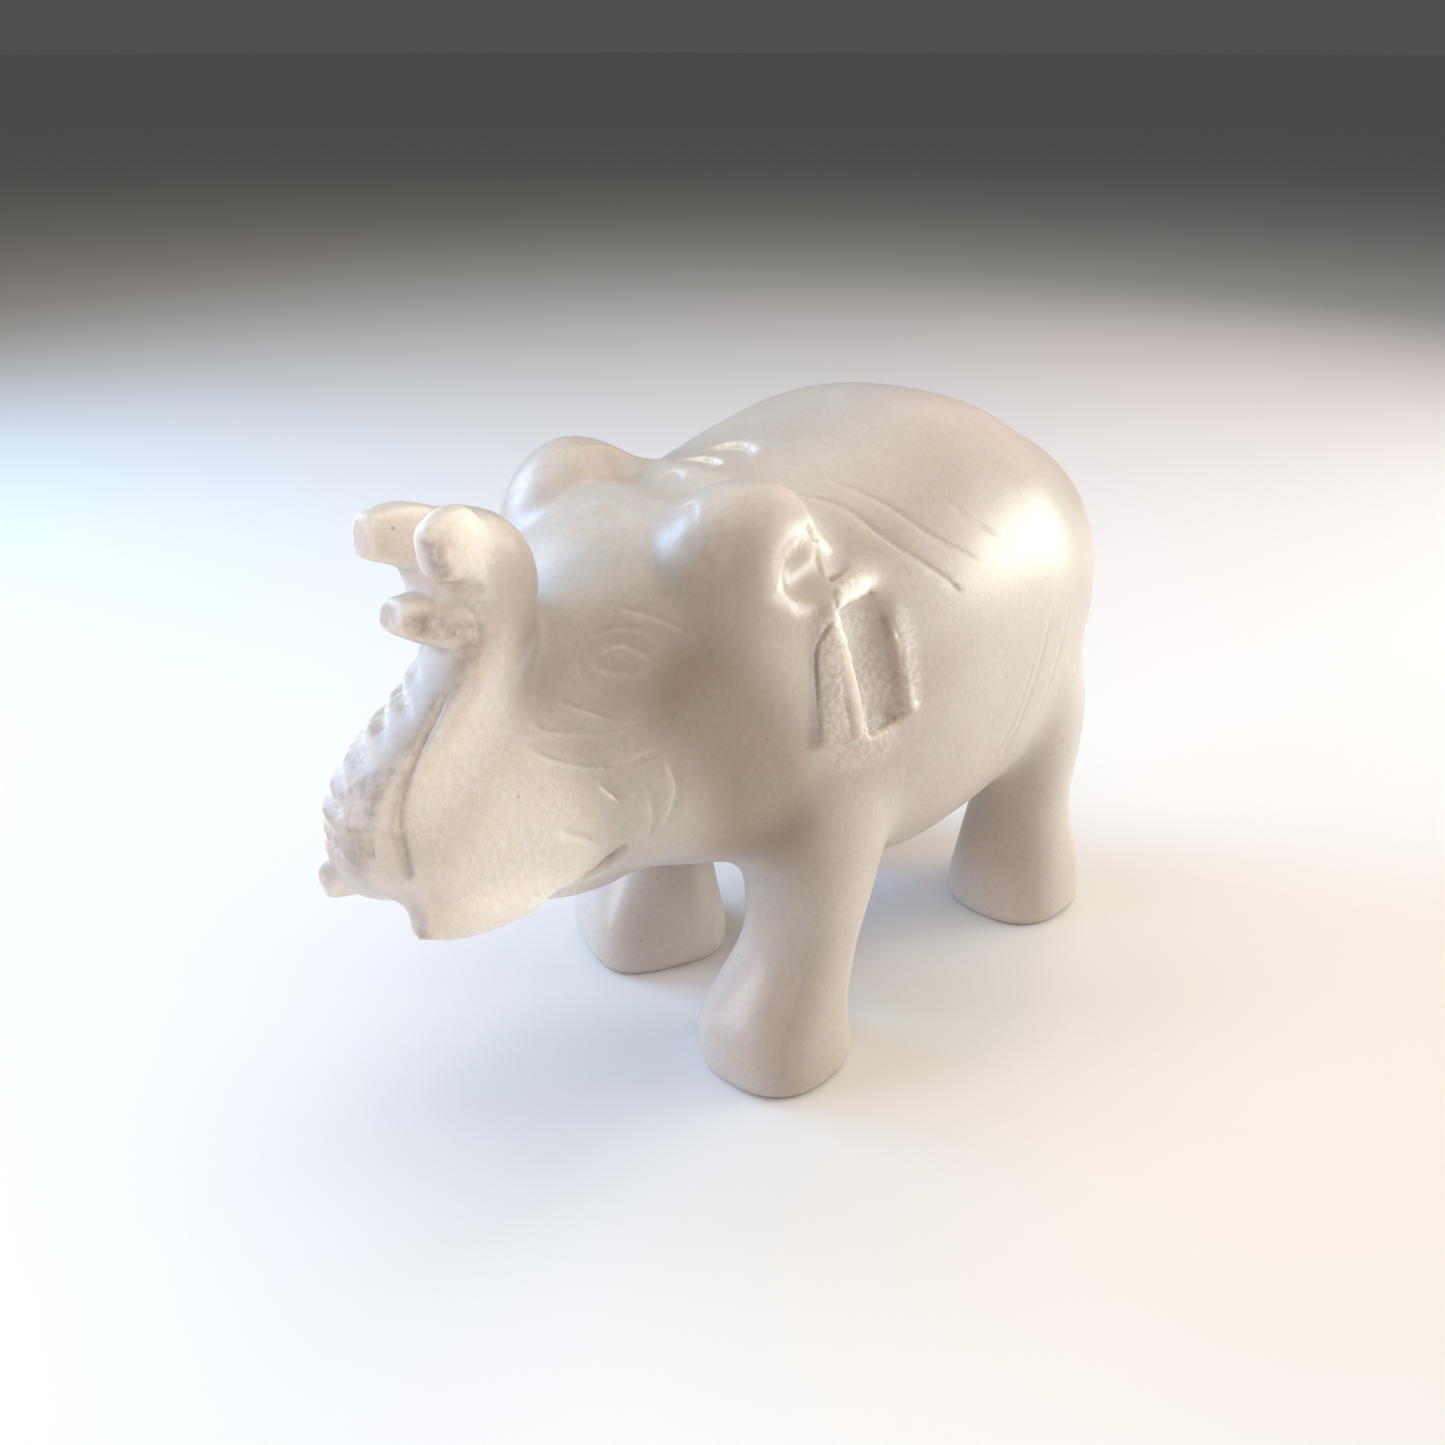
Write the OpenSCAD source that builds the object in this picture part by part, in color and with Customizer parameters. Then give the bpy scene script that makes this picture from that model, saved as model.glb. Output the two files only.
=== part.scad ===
// A small one-piece stone carving of a standing elephant with its trunk raised.
// X runs to the elephant's left, Y to its rear and Z up. The origin is on the ground
// under the middle of the figure. Each region of the carving is a solid of its own,
// and neighbouring regions meet face to face.

/* [Body] */
// Height of the back at its highest
back_height = 63.4; // [61:0.2:66]
// Height of the belly above the ground
belly_height = 14; // [13:0.2:17]
// Width of the body at its widest
body_width = 42; // [38:0.5:46]
// Distance of the rump behind the middle of the figure
rump_reach = 49.2; // [46:0.2:50]

/* [Head] */
// Height of the two domes on top of the head
dome_height = 62.6; // [61:0.2:64]
// Distance between the centres of the domes
dome_spacing = 21.6; // [19:0.5:23]
// Width of the head across the cheeks
head_width = 32; // [29:0.5:34]
// Distance from ear edge to ear edge
ear_span = 40.4; // [39.6:0.2:42]

// Roundness of the ear's crest and rims
ear_edge = 0.8; // [0.6:0.1:1.2]

/* [Trunk and tusks] */
// Distance of the trunk's front ahead of the middle of the figure
trunk_reach = 50; // [48:0.5:52]
// Width of the trunk where it leaves the face
trunk_width = 12.5; // [11:0.5:14]
// Width of the trunk below its tip
trunk_tip_width = 8.4; // [7:0.2:10]
// Diameter of a tusk
tusk_d = 4.4; // [3.6:0.2:5]
// How much lower the tip of the right tusk is than the left one's
right_tusk_drop = 1.2; // [0:0.2:1.4]

/* [Legs and tail] */
// Width of a foot
foot_width = 15.2; // [14:0.2:17]
// Width of a leg at its narrowest
ankle_width = 11.6; // [10:0.2:14]
// Thickness of the tail
tail_d = 4; // [3:0.2:5]
// How far the tail's middle stands off the rump
tail_proud = 0.8; // [0.7:0.1:1]

/* [Hidden] */
// Points around a large section, a medium one and a small one
round_large = 44;
round_medium = 28;
round_small = 14;
// Rings between two given sections
steps_large = 4;
steps_small = 3;

body_half = body_width / 2;
head_half = head_width / 2;
foot_half = foot_width / 2;
body_mid = (back_height + belly_height) / 2 + 0.5;
ankle_half = ankle_width / 2;

// The section that the rump's dome starts from
rump_round = 12.5;
rump_half = body_half * 0.88;
rump_top = back_height - 5.6;
rump_mid = body_mid - 0.5;
rump_low = belly_height + 4.6;
rump_square = 2.3;
rump_start = rump_reach - rump_round;

// Where the sole, the ankle and the thigh of each leg are: distance to the left,
// distance to the rear
left_front = [[12.4, -9.4], [13.3, -6.8], [13.2, -5]];
right_front = [[-13, -2], [-13, -0.8], [-13, 0]];
left_hind = [[13.9, 34.8], [14, 34], [13.6, 34.6]];
right_hind = [[-14.1, 31.5], [-14.2, 31.5], [-13.6, 33]];
// How far the back of a hind thigh reaches, as a share of half the ankle
hind_stride = 1.4;

// ---------------------------------------------------------------- sections and skins
// A section is [x, y, z, half width, back or lower half, front or upper half,
// squareness, lean]. Its plane holds the X axis, and lean turns it from level (0)
// to upright (90).
function across_y(y, half, top, middle, bottom, square = 2.2) =
    [0, y, middle, half, middle - bottom, top - middle, square, 90];
function across_z(place, z, half_x, back, front, square = 2.2) =
    [place[0], place[1], z, half_x, back, front, square, 0];

// Sections that stand square to the path through their centres
function along_path(sections) =
    [for (k = [0 : len(sections) - 1])
        let (
            step = sections[min(k + 1, len(sections) - 1)] - sections[max(k - 1, 0)]
        )
        concat(sections[k], [atan2(step[1], step[2])])];

// A value on the smooth curve through a list of values
function blended(values, place) =
    let (
        last = len(values) - 1,
        i = min(floor(place), last - 1),
        t = place - i,
        a = values[max(i - 1, 0)],
        b = values[i],
        c = values[i + 1],
        d = values[min(i + 2, last)]
    )
    b + (c - a) * t / 2 + (2 * a - 5 * b + 4 * c - d) * t * t / 2
      + (3 * b - a - 3 * c + d) * t * t * t / 2;

function signed_power(value, power) = sign(value) * pow(abs(value), power);

function ring(s, count) =
    [for (k = [0 : count - 1])
        let (
            turn = 360 * (k + 0.5) / count,
            u = s[3] * signed_power(cos(turn), 2 / s[6]),
            v = (sin(turn) > 0 ? s[4] : s[5]) * signed_power(sin(turn), 2 / s[6])
        )
        [s[0] + u, s[1] + v * cos(s[7]), s[2] - v * sin(s[7])]];

// A closed skin over smoothly blended sections
module skin(sections, count, steps) {
    spans = len(sections) - 1;
    rings = [for (k = [0 : spans * steps]) ring(blended(sections, k / steps), count)];
    last = len(rings) - 1;
    polyhedron(
        points = [for (r = rings) each r],
        faces = [
            [for (k = [0 : count - 1]) k],
            for (j = [0 : last - 1], k = [0 : count - 1])
                let (
                    a = j * count + k,
                    b = j * count + (k + 1) % count
                )
                each [[a, a + count, b + count], [a, b + count, b]],
            [for (k = [count - 1 : -1 : 0]) last * count + k]
        ]
    );
}

// Sections that close the end of a skin as a dome of the given depth
function domed(s, depth) =
    [for (turn = [30, 55, 74, 86])
        let (shift = depth * sin(turn))
        [s[0], s[1] + shift * sin(s[7]), s[2] + shift * cos(s[7]),
         s[3] * cos(turn), s[4] * cos(turn), s[5] * cos(turn), s[6], s[7]]];

// Everything inside it becomes one continuous skin
module carved() {
    resize([0, 0, 0]) children();
}

module left_and_right(side) {
    mirror([side < 0 ? 1 : 0, 0, 0]) children();
}

// ---------------------------------------------------------------- masses
module torso_mass() {
    rear = across_y(rump_start, rump_half, rump_top, rump_mid, rump_low, rump_square);
    skin(
        concat(
            [
                across_y(-20, body_half * 0.45, 52, 38, 27),
                across_y(-12, body_half * 0.72, 58.5, 39, 22),
                across_y(-3, body_half * 0.90, 60.5, body_mid - 1, 18, 2.3),
                across_y(8, body_half * 0.99, back_height - 1.6, body_mid, belly_height + 0.2, 2.6),
                across_y(18, body_half, back_height, body_mid, belly_height, 2.6),
                across_y(28, body_half * 0.98, back_height - 1.4, body_mid, belly_height + 1.2, 2.5),
                rear
            ],
            domed(rear, rump_round)
        ),
        round_large, steps_large
    );
}

module head_mass() {
    skin(
        [
            across_y(-47, head_half * 0.46, 38, 34, 29.8, 3.2),
            across_y(-42, head_half * 0.54, 42.5, 35, 28.8, 2.9),
            across_y(-36, head_half * 0.62, 46.5, 36, 27.6, 2.4),
            across_y(-29, head_half * 0.76, 52.5, 38, 26.4, 2.4),
            across_y(-22, head_half * 0.92, 57.5, 42, 25, 2.5),
            across_y(-15, head_half * 1.06, 60, 43, 22.5, 2.6),
            across_y(-8, head_half * 1.1, 60.5, 42, 21.5, 2.5),
            across_y(0, head_half * 0.95, 60, 40, 22, 2.2)
        ],
        round_large, steps_large
    );
    for (side = [-1, 1])
        translate([side * (dome_spacing / 2 - 1.6), -13, dome_height - 11.6])
            rotate([0, side * 14, 0]) scale([8, 9.6, 11.8]) sphere(1, $fn = 28);
}

module lobe(sections) {
    skin(along_path(sections), round_small, steps_small);
}

module trunk_mass() {
    wide = trunk_width / 2;
    slim = trunk_tip_width / 2;
    front = -trunk_reach;
    skin(
        along_path([
            [0, front + 12, 34.5, wide, 4, 4, 2.6],
            [0, front + 6.4, 36.8, wide, 5, 6.5, 2.6],
            [0, front + 6.2, 40.3, wide * 0.92, 5, 4.8, 2.7],
            [0, front + 11.2, 45.6, slim * 1.2, 3.8, 3.4, 2.7],
            [0, front + 15.2, 51, slim * 1.04, 3.6, 3.2, 2.6],
            [0, front + 16.6, 56, slim, 4.3, 3.6, 2.5],
            [0, front + 15.4, 59.4, slim, 3.2, 3.8, 2.5],
            [0, front + 12.4, 60, slim, 2.6, 3.2, 2.5]
        ]),
        round_medium, steps_small
    );
    // The two lobes above the nostrils, the right one longer
    lobe([
        [-1.8, front + 14, 59.6, 2.4, 2.6, 3, 2.8],
        [-3, front + 10.6, 60.6, 2.3, 2.7, 2.6, 3.2],
        [-3.8, front + 7.6, 61, 1.6, 1.7, 1.9, 2.8]
    ]);
    lobe([
        [1.8, front + 14, 59.6, 2.6, 2.6, 3, 2.8],
        [2.6, front + 11.2, 60.4, 2.5, 2.8, 2.5, 3],
        [3, front + 8.9, 60.2, 1.7, 2, 1.8, 2.4]
    ]);
    // The back wall of the nostrils
    lobe([
        [0, front + 15, 57, 4, 3, 3, 2.8],
        [0, front + 11.8, 57.2, 3.6, 2.6, 2.6, 2.6],
        [-0.6, front + 10.4, 57.2, 2.6, 1.6, 1.6, 2.4]
    ]);
    // The finger below them
    lobe([
        [0, front + 14.6, 53.2, 3.8, 3, 3, 2.6],
        [-0.2, front + 10.6, 54, 3, 2.3, 2.1, 2.6],
        [-0.8, front + 7.6, 55, 1.9, 1.5, 1.4, 2.4]
    ]);
}

// drop: how much lower its tip is
module tusk_mass(drop) {
    r = tusk_d / 2;
    skin(
        along_path([
            [6.6, -32, 31.4, r * 0.9, r * 0.9, r * 0.9, 2.2],
            [6.9, -38, 31 - drop * 0.4, r * 1.15, r * 1.15, r * 1.15, 2.2],
            [6.8, -44, 31.6 - drop * 0.9, r * 1.1, r * 1.1, r * 1.1, 2.2],
            [6.2, -47.8, 32.2 - drop, r * 0.8, r * 0.8, r * 0.8, 2]
        ]),
        round_small, steps_small
    );
}

// The notch under the trunk, between the left tusk and the shelf beside it
module mouth_recess() {
    translate([2.2, -49, 28.4]) scale([3.6, 7, 4]) sphere(1, $fn = 24);
}

module lip_mass() {
    skin(
        [
            across_y(-33.5, 3.6, 29, 27, 25.6),
            across_y(-30, 6.4, 31, 28, 24.6),
            across_y(-24, 7.6, 32, 28.5, 24),
            across_y(-18, 7.5, 34, 30, 25)
        ],
        round_medium, steps_small
    );
}

// The flap of the ear: it rises from its front edge to a crest, and sinks into the
// shoulder at its rear
module ear_mass() {
    edge = ear_span / 2 - ear_edge;
    front = [[edge - 2.8, -9.6, 49.2], [edge - 2.4, -10.8, 46], [edge - 1.9, -10.4, 38.6]];
    crest = [[edge - 2, -9.2, 50.8], [edge - 0.7, -8.2, 43], [edge, -7, 38.6]];
    rear = [[edge - 3.3, 0, 50], [edge - 1, 0, 45], [edge, 1.6, 38.6]];
    top = [[edge - 2.7, -7.2, 52], [edge - 3.7, -1.6, 52.4]];
    difference() {
        hull() for (place = concat(front, crest, rear, top)) translate(place) sphere(ear_edge, $fn = 12);
        ear_pocket();
    }
}

// The pocket behind the crest, deepest along its front wall. Its top is further
// forward than its foot.
module ear_pocket() {
    edge = ear_span / 2;
    for (side = [-1, 1])
        left_and_right(side) hull() {
            ear_pocket_end([edge - 4.8, -8.2], [edge - 4, -1.8], 50.4);
            ear_pocket_end([edge - 3, -5.6], [edge - 1.6, 0.5], 37.4);
        }
}

// A thin slice across the pocket at height z, its floor between the two places given
module ear_pocket_end(front, rear, z) {
    translate([0, 0, z]) linear_extrude(0.2)
        polygon([front, rear, [ear_span / 2 + 3, rear[1]], [ear_span / 2 + 3, front[1]]]);
}

// The gouged hollow in front of and above the flap
module ear_scoop() {
    edge = ear_span / 2;
    for (side = [-1, 1])
        left_and_right(side)
            translate([edge - 2.6, -10.4, 54.8]) rotate([-18, -22, 6]) scale([2.4, 5.2, 2.9])
                sphere(1, $fn = 24);
}

// places: where its sole, ankle and thigh are. stride: how far the thigh reaches back.
module leg_mass(places, stride, square, spread = 1) {
    half = foot_half * spread;
    sole = places[0];
    ankle = places[1];
    thigh = places[2];
    skin(
        [
            across_z(sole, 0, half * 0.9, half * 0.88, half * 0.92, square),
            across_z(sole, 2.2, half, half * 0.98, half * 1.02, square),
            across_z(sole, 6.5, half * 0.92, half * 0.9, half * 0.94, square),
            across_z(ankle, 14, ankle_half, ankle_half, ankle_half),
            across_z(
                (ankle + thigh) / 2, 20, ankle_half * 1.05,
                ankle_half * (1 + stride) / 2, ankle_half * 1.1
            ),
            across_z(thigh, 28, ankle_half * 1.05, ankle_half * stride, ankle_half * 1.4),
            across_z(thigh * 0.9, 36, ankle_half, ankle_half * stride, ankle_half * 1.3)
        ],
        round_medium, steps_small
    );
}

// How far to the rear the rump's surface is
function rump_y(x, z) =
    let (
        half = z > rump_mid ? rump_top - rump_mid : rump_mid - rump_low,
        share = pow(abs(x) / rump_half, rump_square) + pow(abs(z - rump_mid) / half, rump_square)
    )
    rump_start + rump_round * sqrt(1 - pow(share, 2 / rump_square));

// The tail lies on the rump and swings round to the left thigh. Each spot is its
// distance to the left, its height and its share of the tail's thickness.
tail_spots = [
    [0, 53.5, 0.7], [1, 48, 0.9], [3.6, 40.5, 0.95],
    [7.4, 34, 1], [10.6, 29.6, 1.25], [12.2, 27, 0.8]
];
module tail_mass() {
    r = tail_d / 2;
    skin(
        along_path([
            for (spot = tail_spots)
                let (thick = r * spot[2])
                [spot[0], rump_y(spot[0], spot[1]) + tail_proud, spot[1],
                 thick, thick * 0.8, thick * 0.8, 2]
        ]),
        round_small, steps_small
    );
}

// ---------------------------------------------------------------- regions
module torso() {
    color("ivory") carved() difference() {
        torso_mass();
        ear_pocket();
    }
}

module head() {
    color("floralwhite") carved() difference() {
        head_mass();
        torso_mass();
        ear_pocket();
        ear_scoop();
        mouth_recess();
    }
}

module trunk() {
    color("linen") carved() difference() {
        trunk_mass();
        head_mass();
    }
}

module lower_lip() {
    color("antiquewhite") carved() difference() {
        lip_mass();
        head_mass();
        torso_mass();
    }
}

module ear(side) {
    color("seashell") carved() difference() {
        left_and_right(side) ear_mass();
        head_mass();
        torso_mass();
        ear_scoop();
    }
}

module tusk(side) {
    color("oldlace") carved() difference() {
        left_and_right(side) tusk_mass(side < 0 ? right_tusk_drop : 0);
        head_mass();
        trunk_mass();
    }
}

module leg(places, stride = hind_stride, square = 2.5, turn = 0, spread = 1) {
    color("whitesmoke") carved() difference() {
        translate(places[0]) rotate(turn) translate(-places[0])
            leg_mass(places, stride, square, spread);
        torso_mass();
        head_mass();
        ear_pocket();
    }
}

module tail() {
    color("mintcream") carved() difference() {
        tail_mass();
        torso_mass();
    }
}

torso();
head();
trunk();
lower_lip();
ear(1);  // left_ear
ear(-1);  // right_ear
tusk(1);  // left_tusk
tusk(-1);  // right_tusk
leg(left_front, 1.9);  // left_front_leg
leg(right_front, 1.6, 3.2, -24, 1.1);  // right_front_leg
leg(left_hind);  // left_hind_leg
leg(right_hind);  // right_hind_leg
tail();
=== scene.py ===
"""A small elephant carved from one block of pale stone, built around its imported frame."""

from math import cos, pi, radians, sin

import bpy
import numpy as np
from bpy.props import FloatProperty, PointerProperty, StringProperty
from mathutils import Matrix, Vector
from mathutils.bvhtree import BVHTree


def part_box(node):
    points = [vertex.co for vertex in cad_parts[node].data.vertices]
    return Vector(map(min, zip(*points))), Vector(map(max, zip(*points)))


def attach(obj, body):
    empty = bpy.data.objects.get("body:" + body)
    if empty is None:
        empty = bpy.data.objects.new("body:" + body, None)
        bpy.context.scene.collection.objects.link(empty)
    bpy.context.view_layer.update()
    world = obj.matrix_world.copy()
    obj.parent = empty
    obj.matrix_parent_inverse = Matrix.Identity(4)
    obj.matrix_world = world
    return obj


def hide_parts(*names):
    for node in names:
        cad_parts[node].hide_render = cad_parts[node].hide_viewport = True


bl_info = {
    "name": "Carved Stone Elephant",
    "version": (1, 0, 0),
    "blender": (4, 5, 0),
    "location": "3D View > Sidebar > Elephant",
    "description": "Carves and finishes a small stone elephant around its packed frame",
    "category": "Object",
}

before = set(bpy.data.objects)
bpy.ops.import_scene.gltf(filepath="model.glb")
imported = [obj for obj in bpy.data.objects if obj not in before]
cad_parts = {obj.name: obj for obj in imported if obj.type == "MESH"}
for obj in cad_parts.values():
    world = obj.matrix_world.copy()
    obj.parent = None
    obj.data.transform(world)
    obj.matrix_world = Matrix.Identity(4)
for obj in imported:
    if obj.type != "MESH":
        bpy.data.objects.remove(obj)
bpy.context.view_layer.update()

MM = 0.001
SKIN = "carved_elephant"
# The skin is thinned to this many triangles at most
MOST_FACES = 195000
# Points of two regions closer than this, in metres, are one point
MERGE = 0.00001
# A stroke marks only skin whose normal has at least this cosine with its own
LEAST_FACING = 0.15
# The steep wall of a step is this wide at most, in mm
WALL = 0.35
REGIONS = sorted(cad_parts)
LEGS = [name for name in REGIONS if name.endswith("_leg")]
SMALL_REGIONS = ["left_ear", "right_ear", "left_tusk", "right_tusk", "lower_lip", "tail"]


# ------------------------------------------------------------------ points of the skin
def read_points(thing):
    """Every vertex of a mesh object, in millimetres."""
    found = np.empty(len(thing.data.vertices) * 3, np.float32)
    thing.data.vertices.foreach_get("co", found)
    return found.reshape(-1, 3).astype(float) / MM


def write_points(thing, points):
    """Moves every vertex to its place in millimetres."""
    thing.data.vertices.foreach_set("co", (points * MM).astype(np.float32).ravel())
    thing.data.update()


def read_normals(thing):
    """The way each vertex faces."""
    found = np.empty(len(thing.data.vertices) * 3, np.float32)
    thing.data.vertex_normals.foreach_get("vector", found)
    return found.reshape(-1, 3).astype(float)


def read_edges(thing):
    """The two vertices of every edge."""
    found = np.empty(len(thing.data.edges) * 2, np.int32)
    thing.data.edges.foreach_get("vertices", found)
    return found.reshape(-1, 2)


def fade(value, near, far):
    """1 below near, 0 above far, smooth between."""
    t = np.clip((np.asarray(value, float) - near) / (far - near), 0, 1)
    return 1 - t * t * (3 - 2 * t)


# ------------------------------------------------------------------ Blender's own tools
def only(thing):
    """Selects one object alone and makes it active."""
    bpy.ops.object.select_all(action="DESELECT")
    thing.select_set(True)
    bpy.context.view_layer.objects.active = thing


def modified(thing, kind, **settings):
    """Adds a modifier, sets it and applies it."""
    only(thing)
    bpy.ops.object.modifier_add(type=kind)
    modifier = thing.modifiers[-1]
    for name, value in settings.items():
        setattr(modifier, name, value)
    bpy.ops.object.modifier_apply(modifier=modifier.name)


def block_from(regions, name):
    """One mesh of all the regions' skins, with each region's loose triangles merged."""
    copies = []
    for region in regions:
        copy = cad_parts[region].copy()
        copy.data = copy.data.copy()
        bpy.context.collection.objects.link(copy)
        copies.append(copy)
    bpy.ops.object.select_all(action="DESELECT")
    for copy in copies:
        copy.select_set(True)
    bpy.context.view_layer.objects.active = copies[0]
    bpy.ops.object.join()
    block = bpy.context.view_layer.objects.active
    block.name = block.data.name = name
    bpy.ops.object.mode_set(mode="EDIT")
    bpy.ops.mesh.select_all(action="SELECT")
    bpy.ops.mesh.remove_doubles(threshold=MERGE)
    bpy.ops.object.mode_set(mode="OBJECT")
    return block


def keep_largest_shell(thing):
    """Deletes every loose shell but the largest, such as a pocket left inside."""
    edges = read_edges(thing)
    shell = np.arange(len(thing.data.vertices))
    while True:
        low = shell.copy()
        np.minimum.at(low, edges[:, 0], shell[edges[:, 1]])
        np.minimum.at(low, edges[:, 1], shell[edges[:, 0]])
        low = low[low]
        if (low == shell).all():
            break
        shell = low
    kept = np.bincount(shell).argmax()
    thing.data.vertices.foreach_set("select", shell != kept)
    only(thing)
    bpy.ops.object.mode_set(mode="EDIT")
    bpy.ops.mesh.delete(type="VERT")
    bpy.ops.object.mode_set(mode="OBJECT")


# ------------------------------------------------------------------ cuts in the skin
def tree_of(thing):
    """The skin as a tree to throw points at, in metres."""
    return BVHTree.FromObject(thing, bpy.context.evaluated_depsgraph_get())


def laid(tree, points, heading=None):
    """Points put down on the skin: the nearest places, or along a heading from outside."""
    found = []
    for point in points:
        place = Vector(point) * MM
        if heading is None:
            hit = tree.find_nearest(place)
        else:
            away = Vector(heading)
            hit = tree.ray_cast(place - away * 0.2, away)
        if hit[0] is None:
            raise RuntimeError(f"no skin at {point}")
        found.append([*(hit[0] / MM), *hit[1]])
    return np.array(found)


def rounded_path(points, steps=6):
    """A smooth line through a few points."""
    points = np.array(points, float)
    if len(points) < 3:
        t = np.linspace(0, 1, steps + 1)[:, None]
        return points[0] * (1 - t) + points[-1] * t
    full = np.vstack([2 * points[0] - points[1], points, 2 * points[-1] - points[-2]])
    line = []
    for k in range(1, len(full) - 2):
        a, b, c, d = full[k - 1 : k + 3]
        for t in np.linspace(0, 1, steps, endpoint=False):
            line.append(
                0.5 * (
                    2 * b + (c - a) * t + (2 * a - 5 * b + 4 * c - d) * t * t
                    + (3 * b - a - 3 * c + d) * t * t * t
                )
            )
    line.append(full[-2])
    return np.array(line)


def measured(points, normals, line, reach=4):
    """How far each point is from a line on the skin, to which side, and how far along it."""
    path, up = line[:, :3], line[:, 3:]
    low, high = path.min(0) - reach, path.max(0) + reach
    close = np.nonzero(((points > low) & (points < high)).all(1))[0]
    p, n = points[close], normals[close]
    best = np.full(len(close), 1e9)
    side = np.zeros(len(close))
    along = np.zeros(len(close))
    facing = np.zeros(len(close))
    for k in range(len(path) - 1):
        a, b = path[k], path[k + 1]
        step = b - a
        t = np.clip(((p - a) @ step) / max(step @ step, 1e-9), 0, 1)
        apart = p - (a + t[:, None] * step)
        gap = np.sqrt((apart**2).sum(1))
        nearer = gap < best
        best[nearer] = gap[nearer]
        side[nearer] = (apart @ np.cross(up[k], step))[nearer]
        along[nearer] = ((k + t) / (len(path) - 1))[nearer]
        facing[nearer] = (n @ up[k])[nearer]
    usable = facing > LEAST_FACING
    return close[usable], best[usable], np.sign(side[usable]), along[usable]


def profile(kind, gap, side, width):
    """The section of a cut, 1 at its deepest: groove, hollow, or a step with one steep wall."""
    if kind == "groove":
        return np.clip(1 - gap / (width / 2), 0, 1)
    if kind == "hollow":
        return fade(gap, 0, width / 2)
    reach = gap * side
    wall = fade(-reach, 0, min(WALL, width / 4))
    slope = np.clip(1 - reach / width, 0, 1)
    return np.where(reach < 0, wall, slope)


def cut(thing, tree, stroke, mirrored=False):
    """Presses one stroke of the chisel into the skin, and notes where it is."""
    kind, width, depth, points = stroke[:4]
    heading = stroke[4] if len(stroke) > 4 else None
    points = [Vector(p) for p in points]
    if mirrored:
        points = [Vector((-p.x, p.y, p.z)) for p in points]
        if heading:
            heading = (-heading[0], heading[1], heading[2])
    line = laid(tree, rounded_path(points), heading)
    if mirrored:
        line = line[::-1]
    skin = read_points(thing)
    normals = read_normals(thing)
    near, gap, side, along = measured(skin, normals, line)
    # The chisel enters and leaves gently, over about a fifth of the stroke at each end.
    ends = np.sqrt(np.clip(np.sin(pi * np.clip(along, 0.02, 0.98)) * 1.6, 0, 1))
    amount = profile(kind, gap, side, width) * ends
    skin[near] -= normals[near] * (amount * depth)[:, None]
    write_points(thing, skin)
    if kind != "hollow":
        whiteness = min(0.8, 1.8 * depth)
        note(thing, "cut", near, whiteness * fade(gap, 0, width * 0.6) * ends)


def note(thing, name, near, amount):
    """Keeps the larger of a mark already on the skin and a new one."""
    marks = thing.data.attributes.get(name)
    if marks is None:
        marks = thing.data.attributes.new(name, "FLOAT", "POINT")
    kept = np.zeros(len(thing.data.vertices), np.float32)
    marks.data.foreach_get("value", kept)
    kept[near] = np.maximum(kept[near], amount)
    marks.data.foreach_set("value", kept)


def read_marks(thing, name):
    """How strong a mark is at each vertex, from 0 to 1."""
    found = np.zeros(len(thing.data.vertices), np.float32)
    thing.data.attributes[name].data.foreach_get("value", found)
    return found.astype(float)


def rub(name, strokes):
    """Marks both sides of the skin along lines, strongest in the middle."""
    thing = bpy.data.objects[SKIN]
    tree = tree_of(thing)
    skin = read_points(thing)
    normals = read_normals(thing)
    for width, strength, points in strokes:
        for side in (1, -1):
            line = laid(tree, rounded_path([(side * x, y, z) for x, y, z in points]))
            near, gap, _, _ = measured(skin, normals, line, max(4, width * 0.6))
            note(thing, name, near, strength * fade(gap, width * 0.15, width * 0.6))


def carve(strokes, both_sides=True):
    """Makes a group of cuts, and the same on the other side."""
    thing = bpy.data.objects[SKIN]
    tree = tree_of(thing)
    for stroke in strokes:
        cut(thing, tree, stroke)
        if both_sides:
            cut(thing, tree, stroke, mirrored=True)


# ------------------------------------------------------------------ where the chisel went
# Each stroke: its kind, its width and depth in mm, its points in mm, and the way that it is
# pressed in, where that isn't straight into the nearest skin. A negative depth raises the
# skin. A step slopes down to its line from the left, as seen from outside along its
# points, and has a steep wall on the right.
EYE = [
    (
        "groove", 0.7, 0.16,
        [(7.9, -29, 49.8), (8.8, -27.3, 50.6), (10.2, -26.2, 50.4), (12, -25.2, 49.2)],
    ),
    (
        "groove", 0.7, 0.12,
        [(8, -29.2, 49.6), (9.2, -28.8, 48.9), (10.8, -27.2, 48.6), (12, -25.4, 49.2)],
    ),
    (
        "groove", 0.7, 0.08,
        [(7.2, -29, 51.1), (8.2, -26.8, 51.8), (10.2, -24.9, 51.5), (12.2, -24.4, 50.1)],
    ),
    ("groove", 0.7, 0.14, [(8, -25.6, 53.3), (10, -24.2, 52.8), (12, -23, 52), (13.5, -21.8, 50.8)]),
    ("groove", 0.7, 0.1, [(7.4, -30.2, 49.6), (8.2, -30.4, 48.6), (9, -30.2, 47.6)]),
]
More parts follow.
